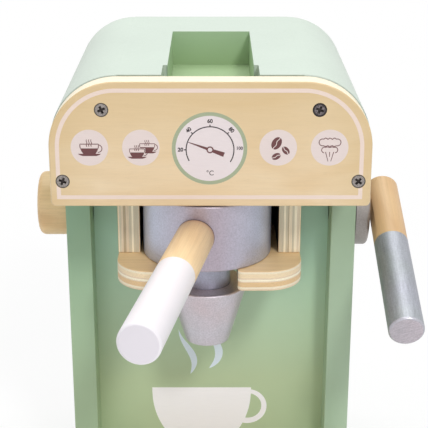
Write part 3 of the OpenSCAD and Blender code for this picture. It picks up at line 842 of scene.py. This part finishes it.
def border_line():
    """Line round the panel, broken where the lower screws sit on it."""
    half_width = (PANEL_HIGH.x - PANEL_LOW.x) / 2 / MM
    height = (PANEL_HIGH.z - PANEL_LOW.z) / MM
    low, high = next(box for box in SCREWS["front_screws"]
                     if box[0].x > 0 and box[0].z < PANEL_MIDDLE.z)
    radius = (high.z - low.z) / 2 / MM + SCREW_ROOM
    screw_z = (low.z + high.z) / 2 / MM - PANEL_LOW.z / MM
    screw_x = (low.x + high.x) / 2 / MM

    def side_z(x, sign):
        """Height of the screw's rim at x, above (1) or below (-1) the screw."""
        off = abs(x + PRINT_SHIFT / MM) - screw_x
        return screw_z + sign * math.sqrt(max(0, radius ** 2 - off ** 2))

    def rim(x_from, x_to, sign):
        return [(x, side_z(x, sign)) for x in steps_between(x_from, x_to, 8)]

    def arch(grow):
        x, y = half_width - LINE_SIDE - LINE_RADIUS, height - LINE_TOP - LINE_RADIUS
        radius = LINE_RADIUS + grow
        return arc(-x, y, radius, 180, 90) + arc(x, y, radius, 90, 0)

    half = LINE_WIDTH / 2
    outer, inner = half_width - LINE_SIDE + half, half_width - LINE_SIDE - half
    upper = rim(-inner, -outer, 1) + arch(half) + rim(outer, inner, 1) + arch(-half)[::-1]
    outer_foot, inner_foot = LINE_FOOT - half, LINE_FOOT + half
    lower = (rim(-inner, -outer, -1) + [(-outer, outer_foot), (outer, outer_foot)]
             + rim(outer, inner, -1) + [(inner, inner_foot), (-inner, inner_foot)])
    return plate("panel_line", [[upper], [lower]], print_cream, PANEL_PRINT)


# Icons. An arc is (x, y, radius, from, to), a row of bumps (from, to, y, swell, count), and a
# bean (length, width, turn, x, y). A cup is measured from the middle of its rim, all else from
# the middle of its disc.
HAIR = 0.4
CUP_W = 9.4
CUP_H = 5.1
CUP_FOOT = 0.65
CUP_POWER = 2.6
CUP_HANDLE = (CUP_W / 2 - 0.25, -2.35, 1.95, 84, -98)
COFFEE_DEPTH = 2.25
SAUCER_W = 11.6
SAUCER_T = 1.15
SAUCER_BELLY = (0.86, 0.55)
SAUCER_FOOT = 1.15
STEAM_X = (-1.25, -0.1, 1.05)
STEAM_Y = (-1.3, 2.4)
STEAM_SWAY = 0.15
STEAM_TURNS = 2.6
BACKING_MARGIN = 0.5
SINGLE_CUP = (-0.1, 1.9)
REAR_CUP = (3.2, 2.1)
FRONT_CUP = (-1.95, -0.65)
TWO_CUPS_SIZE = 0.81
BEANS = ((6.9, 4.8, 62, -0.85, 2.3), (4.8, 3.2, -50, 3.85, -1.5), (4.8, 3.3, 28, -0.95, -4.6))
GROOVE_LENGTH = 1.04
GROOVE_SWAY = 0.055
GROOVE_WIDTH = 0.36
UPPER_CLOUD = ((-3.6, 2.8, 1.8, 262, 78), (3.8, 2.8, 1.8, 102, -82))
UPPER_BUMPS = ((-3.2, 3.4, 4.3, 0.75, 3), (3.4, -3.2, 1.15, -0.45, 3))
LOWER_CLOUD = ((-2.5, -1.2, 1.5, 262, 100), (2.6, -1.2, 1.5, 80, -82))
LOWER_BUMPS = (-2.2, 2.3, 0.1, 0.3, 2)
JETS = (((-2.0, -2.2), (-0.65, -7.2)), ((2.1, -2.2), (0.75, -7.2)), ((0.05, -2.2), (0.05, -4.8)))


def cup_side(depth, width, height, foot, power):
    """Half width of a cup at a depth below its rim."""
    return width / 2 * (1 - (1 - foot) * (depth / height) ** power)


def mirrored(points):
    """The points and, backwards, their mirror images across the Y axis."""
    return points + [(-x, y) for x, y in points[::-1]]


def icon_cup_side(depth_from, depth_to, steps, margin=0.0):
    """Points down the right side of the cup icon."""
    return [(cup_side(depth, CUP_W, CUP_H, CUP_FOOT, CUP_POWER) + margin, -depth)
            for depth in steps_between(depth_from, depth_to, steps)]


def cup_icon():
    """Cup half full on a saucer, with three wisps of steam; the origin is the middle of its rim."""
    coffee = icon_cup_side(COFFEE_DEPTH, CUP_H, 12)
    side = icon_cup_side(0, COFFEE_DEPTH, 6)
    half, foot = SAUCER_W / 2, coffee[-1][0] * SAUCER_FOOT
    belly = (half * SAUCER_BELLY[0], -CUP_H - SAUCER_T * SAUCER_BELLY[1])
    saucer = [(half, -CUP_H), belly, (foot, -CUP_H - SAUCER_T)]
    shapes = [[mirrored(coffee)], [mirrored(saucer)], stroke(mirrored(side[::-1]), HAIR),
              stroke(arc(*CUP_HANDLE, 24), HAIR)]
    for x in STEAM_X:
        wave = [(x + STEAM_SWAY * math.sin(y * STEAM_TURNS), y) for y in steps_between(*STEAM_Y, 20)]
        shapes.append(stroke(wave, HAIR, HAIR * 0.8))
    return shapes


def cup_backing():
    """Outline that hides what lies behind a cup icon."""
    side = icon_cup_side(0, CUP_H, 8, BACKING_MARGIN)
    return [[mirrored([(side[0][0], HAIR)] + side)]]


def bean_icon(length, width, turn, x, y):
    """Coffee bean and its pale groove."""
    body = moved([[circle(0, 0, length / 2, 48, width / length)]], x, y, turn)
    line = [(t * length / 2 * GROOVE_LENGTH, GROOVE_SWAY * width * math.sin(t * 1.8 * math.pi))
            for t in steps_between(-1, 1, 20)]
    return body, moved([stroke(line, GROOVE_WIDTH)], x, y, turn)


def steam_icon():
    """Two stacked clouds and the jets below them; the origin is the middle of the disc."""
    left, right = (arc(*end, 24) for end in UPPER_CLOUD)
    above, below = (bumps(*row)[1:-1] for row in UPPER_BUMPS)
    upper = left + above + right + below
    left, right = (arc(*end, 24) for end in LOWER_CLOUD)
    lower = left + bumps(*LOWER_BUMPS)[1:-1] + right
    return ([stroke(upper, HAIR, closed=True), stroke(lower, HAIR)]
            + [stroke(list(jet), HAIR, HAIR * 0.7) for jet in JETS])


def on_disc(shapes, number, place=(0.0, 0.0), size=1.0):
    """Shapes moved to a place on the disc of a number from 1 to 4."""
    return moved(shapes, DISCS[number - 1] + place[0], DISC_HEIGHT + place[1], size=size)


def icon_discs():
    """Four white discs with their icons."""
    films = [plate("disc_%d" % number, [[circle(x, DISC_HEIGHT, DISC_RADIUS)]], print_white,
                   PANEL_PRINT) for number, x in enumerate(DISCS, 1)]
    beans, grooves = zip(*(bean_icon(*bean) for bean in BEANS))
    prints = [
        ("icon_cup", on_disc(cup_icon(), 1, SINGLE_CUP), print_brown, 1),
        ("icon_cup_rear", on_disc(cup_icon(), 2, REAR_CUP, TWO_CUPS_SIZE), print_brown, 1),
        ("icon_cup_backing", on_disc(cup_backing(), 2, FRONT_CUP, TWO_CUPS_SIZE), print_white, 2),
        ("icon_cup_front", on_disc(cup_icon(), 2, FRONT_CUP, TWO_CUPS_SIZE), print_brown, 3),
        ("icon_beans", on_disc(sum(beans, []), 3), print_brown, 1),
        ("icon_bean_grooves", on_disc(sum(grooves, []), 3), print_white, 2),
        ("icon_steam", on_disc(steam_icon(), 4), print_brown, 1)]
    return films + [plate(name, shapes, ink, PANEL_PRINT, level)
                    for name, shapes, ink, level in prints]


DIAL_HEIGHT = 30.9
DIAL_RADIUS = 19.0
DIAL_FACE = 17.1
SCALE_SHIFT = (0.25, -0.6)
SCALE_RADIUS = 12.05
SCALE_ENDS = (209, -32)
SCALE_LINE = 0.55
TICK = 1.1
# Each number with its place on the scale and its own lean, in degrees.
NUMBERS = (("20", 180, 0), ("40", 136, 46), ("60", 90, 0), ("80", 44, -46), ("100", 3, 0))
NUMBER_RADIUS = 14.9
NUMBER_HEIGHT = 2.75
NUMBER_WEIGHT = 0.1
LAST_SIZE = 0.82
UNIT_DROP = 12.4
UNIT_HEIGHT = 3.6
UNIT_WEIGHT = 0.02
NEEDLE_TURN = 160
NEEDLE_ROOT = 1.5
NEEDLE_GAP = 0.4
NEEDLE_TIP_WIDTHS = (1.35, 0.3)
NEEDLE_TAIL = 7.5
NEEDLE_TAIL_WIDTHS = (1.7, 2.4)
NEEDLE_HUB = (1.8, 1.15)


def panel_text(name, text, height, weight, ink, x, y, lean=0.0):
    """Short text on the dial's face, centred on (x, y)."""
    place = PANEL_PRINT @ Matrix.Translation((x * MM, y * MM, 0))
    place = place @ Matrix.Rotation(math.radians(lean), 4, "Z")
    return pressed(name, [lettering(text, height, weight)], ink, place, 1)


def dial_scale(x, y):
    """Round line of the scale with its ticks; the last number has none."""
    shapes = [stroke(arc(x, y, SCALE_RADIUS, *SCALE_ENDS, 96), SCALE_LINE)]
    tick = stroke([(SCALE_RADIUS, 0), (SCALE_RADIUS + TICK, 0)], SCALE_LINE)
    for _, turn, _ in NUMBERS[:-1]:
        shapes += moved([tick], x, y, turn)
    return plate("dial_scale", shapes, print_black, PANEL_PRINT, 1)


def dial_numbers(x, y):
    """Plain numbers round the scale; the last one is smaller and grey."""
    films = []
    for text, turn, lean in NUMBERS:
        last = text == NUMBERS[-1][0]
        height = NUMBER_HEIGHT * (LAST_SIZE if last else 1.0)
        ink = print_grey if last else print_black
        spot = arc(x, y, NUMBER_RADIUS, turn, turn, 1)[0]
        films.append(panel_text("dial_number_" + text, text, height, NUMBER_WEIGHT, ink, *spot, lean))
    return films


def dial_needle(x, y):
    tip = stroke([(NEEDLE_ROOT, 0), (SCALE_RADIUS - NEEDLE_GAP, 0)], *NEEDLE_TIP_WIDTHS)
    tail = stroke([(-NEEDLE_ROOT, 0), (-NEEDLE_TAIL, 0)], *NEEDLE_TAIL_WIDTHS)
    hub = [circle(0, 0, radius, 40) for radius in NEEDLE_HUB]
    return plate("dial_needle", moved([tip, tail, hub], x, y, NEEDLE_TURN), print_brown,
                 PANEL_PRINT, 2)


def dial():
    """Thermometer dial: ring, face, scale with plain numbers, and needle."""
    rim, face = (circle(0, DIAL_HEIGHT, radius, 128) for radius in (DIAL_RADIUS, DIAL_FACE))
    films = [plate("dial_ring", [[rim, face]], print_sage, PANEL_PRINT),
             plate("dial_face", [[face]], dial_white, PANEL_PRINT)]
    x, y = SCALE_SHIFT[0], DIAL_HEIGHT + SCALE_SHIFT[1]
    films += [dial_scale(x, y)] + dial_numbers(x, y)
    unit_place = x, y - UNIT_DROP
    films.append(panel_text("dial_unit", "°C", UNIT_HEIGHT, UNIT_WEIGHT, print_black, *unit_place))
    return films + [dial_needle(x, y)]


# ---- print on the splash board ---------------------------------------------
#
# In millimetres: X from the middle of the board, Y from the floor.

MUG_X = -5.85
MUG_RIM = 63.0
MUG_W = 60.7
MUG_H = 42.0
MUG_FOOT = 0.4
MUG_POWER = 2.4
MUG_HANDLE = (22.4, 50.2, 10.2, 96, -112)
MUG_HANDLE_WIDTHS = (2.7, 3.9)
# Each wisp with its width.
WISPS = ((((-19.6, 102.4), (-18.3, 90.5), (-5.0, 85.5), (-12.7, 72.4)), 4.1),
         (((-4.0, 103.5), (1.5, 96.0), (11.0, 86.0), (-1.3, 76.2)), 4.7))
SPLASH_PRINT = on_wall(0, SPLASH_LOW.y, 0)


def wisp(spine, width):
    """Wisp of steam along a curve, pointed at both ends and widest below its middle."""
    points = bezier(spine)
    last = len(points) - 1
    widths = [width * math.sin(math.pi * (i / last) ** 1.35) ** 0.7 for i in range(last)]
    return ribbon(points, widths + [0.0])


def splash_print():
    """White cup with two wisps of steam."""
    side = [(cup_side(depth, MUG_W, MUG_H, MUG_FOOT, MUG_POWER), -depth)
            for depth in steps_between(0, MUG_H, 28)]
    cup = moved([[mirrored(side)]], MUG_X, MUG_RIM)
    handle = stroke(arc(*MUG_HANDLE), *MUG_HANDLE_WIDTHS)
    return [plate("splash_cup", cup + [handle], splash_white, SPLASH_PRINT),
            plate("splash_steam", [wisp(*each) for each in WISPS], steam_white, SPLASH_PRINT)]


# ---- knob, lever and portafilter -------------------------------------------

FORWARD = Vector((0, -1, 0))
# Where the paint starts: from the bowl's axis on the handle, from the axle on the lever.
HANDLE_PAINT = 86.6 * MM
LEVER_PAINT = 37.8 * MM
RIM_FACING = 0.2


def dowel(node, paint_start, ahead, materials):
    """CAD dowel cut where its paint starts; ahead points to its end.

    The materials are those of the wood, the paint, the painted end and the edge round the end.
    """
    shape = welded(node)
    bmesh.ops.bisect_plane(shape, geom=shape.verts[:] + shape.edges[:] + shape.faces[:],
                           plane_co=paint_start, plane_no=ahead, dist=WELD)
    shape.normal_update()
    for face in shape.faces:
        facing = face.normal.dot(ahead)
        painted_face = (face.calc_center_median() - paint_start).dot(ahead) > 0
        zone = 2 if facing > FACING else 3 if facing > RIM_FACING else 1
        face.material_index = zone * painted_face
    return stand_for(keep(shape, node + "_finished", materials), node)


def dress_handle():
    """Handle of the portafilter: a dowel that starts inside the bowl."""
    bowl_low, bowl_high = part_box("portafilter_bowl")
    handle_low, handle_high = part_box("portafilter_handle")
    root = Vector((BOWL_X, BOWL_Y, (handle_low.z + handle_high.z) / 2))
    ahead = Matrix.Rotation(-HANDLE_TURN, 3, "Z") @ FORWARD
    # The handle's wood gets painted shade round its joint with the bowl.
    handle_beech = varnished("handle_beech", srgb(255, 225, 178), srgb(240, 202, 152), "Y", 0.86,
                             turn=(0, 0, -HANDLE_TURN), socket=(root, (bowl_high.x - bowl_low.x) / 2))
    # Its end takes a shaded copy of the white paint: painted shade.
    dowel("portafilter_handle", root + ahead * HANDLE_PAINT, ahead,
          [handle_beech, white_paint, end_shaded_white, white_paint])


def dress_lever():
    """Lever: a dowel that turns about its hub's axle."""
    low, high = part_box("lever_handle")
    axle = next(Vector(joint["pos_m"]) for joint in frame["joints"] if joint["name"] == "lever_turn")
    axle.x = (low.x + high.x) / 2
    ahead = Matrix.Rotation(LEVER_SLOPE, 3, "X") @ FORWARD
    # The edge round the lever's end takes a painted highlight.
    dowel("lever_handle", axle + ahead * LEVER_PAINT, ahead,
          [lever_beech, lever_silver, end_silver, rim_highlight_silver])


def dress_turned():
    """Turned pieces of the portafilter, the knob and the lever."""
    soften("portafilter_spout", SPOUT_EDGE, [spout_lit_silver])
    for node, material in (("portafilter_bowl", silver_paint), ("portafilter_neck", neck_lit_and_shaded_silver),
                           ("lever_hub", hub_shaded_silver), ("steam_knob", beech_x),
                           ("knob_axle", beech_x), ("lever_axle", beech_x)):
        finish_node(node, material)


# ---- room ------------------------------------------------------------------

WORLD_STRENGTH = 0.38
FLOOR_HALF = 4.0
# The floor's glow, which hides its shade from the camera, grows between two distances.
FLOOR_NEAR, FLOOR_FAR = 0.25, 0.6
GLOW_NEAR = 0.8
LIGHT_AIM = (0, -0.05, 0.15)
# Small key light from the upper right, broad fill from the front, broad light from above, each
# with its place, size and power.
LIGHTS = (("key_light", (0.75, -1.8, 1.9), 0.4, 24),
          ("fill_light", (-0.5, -1.9, 0.9), 1.2, 3),
          ("top_light", (-0.1, 0.35, 1.7), 1.6, 20))


def area_light(name, place, size, power):
    data = bpy.data.lights.new(name, "AREA")
    data.shape = "SQUARE"
    data.size = size
    data.energy = power
    light = bpy.data.objects.new(name, data)
    light.location = place
    light.rotation_euler = (Vector(LIGHT_AIM) - Vector(place)).to_track_quat("-Z", "Y").to_euler()
    bpy.context.scene.collection.objects.link(light)


def seen_ray(tree):
    """1 for rays from the camera, or through a reflection or glass, else 0."""
    path = tree.nodes.new("ShaderNodeLightPath")
    total = path.outputs["Is Camera Ray"]
    for name in ("Is Glossy Ray", "Is Transmission Ray"):
        most = tree.nodes.new("ShaderNodeMath")
        most.operation = "MAXIMUM"
        tree.links.new(total, most.inputs[0])
        tree.links.new(path.outputs[name], most.inputs[1])
        total = most.outputs[0]
    return total


def make_world():
    """White surroundings that light the object softly."""
    world = bpy.data.worlds.new("studio")
    world.use_nodes = True
    tree = world.node_tree
    background = tree.nodes["Background"]
    background.inputs["Color"].default_value = grey(1.0)
    level = tree.nodes.new("ShaderNodeMapRange")
    tree.links.new(seen_ray(tree), level.inputs["Value"])
    level.inputs["To Min"].default_value = WORLD_STRENGTH
    level.inputs["To Max"].default_value = 1.0
    tree.links.new(level.outputs[0], background.inputs["Strength"])
    bpy.context.scene.world = world


def make_floor():
    """White floor: it shows the shadow near the object and is plain white further off."""
    shape = bmesh.new()
    shape.faces.new([shape.verts.new((x * FLOOR_HALF, y * FLOOR_HALF, 0))
                     for x, y in ((-1, -1), (1, -1), (1, 1), (-1, 1))])
    floor = Finish("floor", grey(0.9), 0.9)
    tree = floor.tree
    glow = floor.node("Emission", {"Color": grey(1.0), "Strength": 1.0})
    place = floor.node("TexCoord", {}).outputs["Object"]
    reach = floor.node("VectorMath", {0: place}, operation="LENGTH").outputs["Value"]
    amount = floor.span(reach, FLOOR_NEAR, FLOOR_FAR, GLOW_NEAR, 1.0)
    part = floor.math("MULTIPLY", seen_ray(tree), amount)
    both = floor.node("MixShader", {0: part, 1: floor.surface.outputs[0], 2: glow.outputs[0]})
    tree.links.new(both.outputs[0], tree.nodes["Material Output"].inputs["Surface"])
    keep(shape, "floor", [floor.material])


def make_room():
    make_floor()
    make_world()
    for light in LIGHTS:
        area_light(*light)
    bpy.context.scene.view_settings.view_transform = "Standard"


make_camera()
make_room()
dress_case()
dress_plywood()
dress_screws()
dress_handle()
dress_lever()
dress_turned()
printed_on([border_line()] + icon_discs() + dial())
printed_on(splash_print())
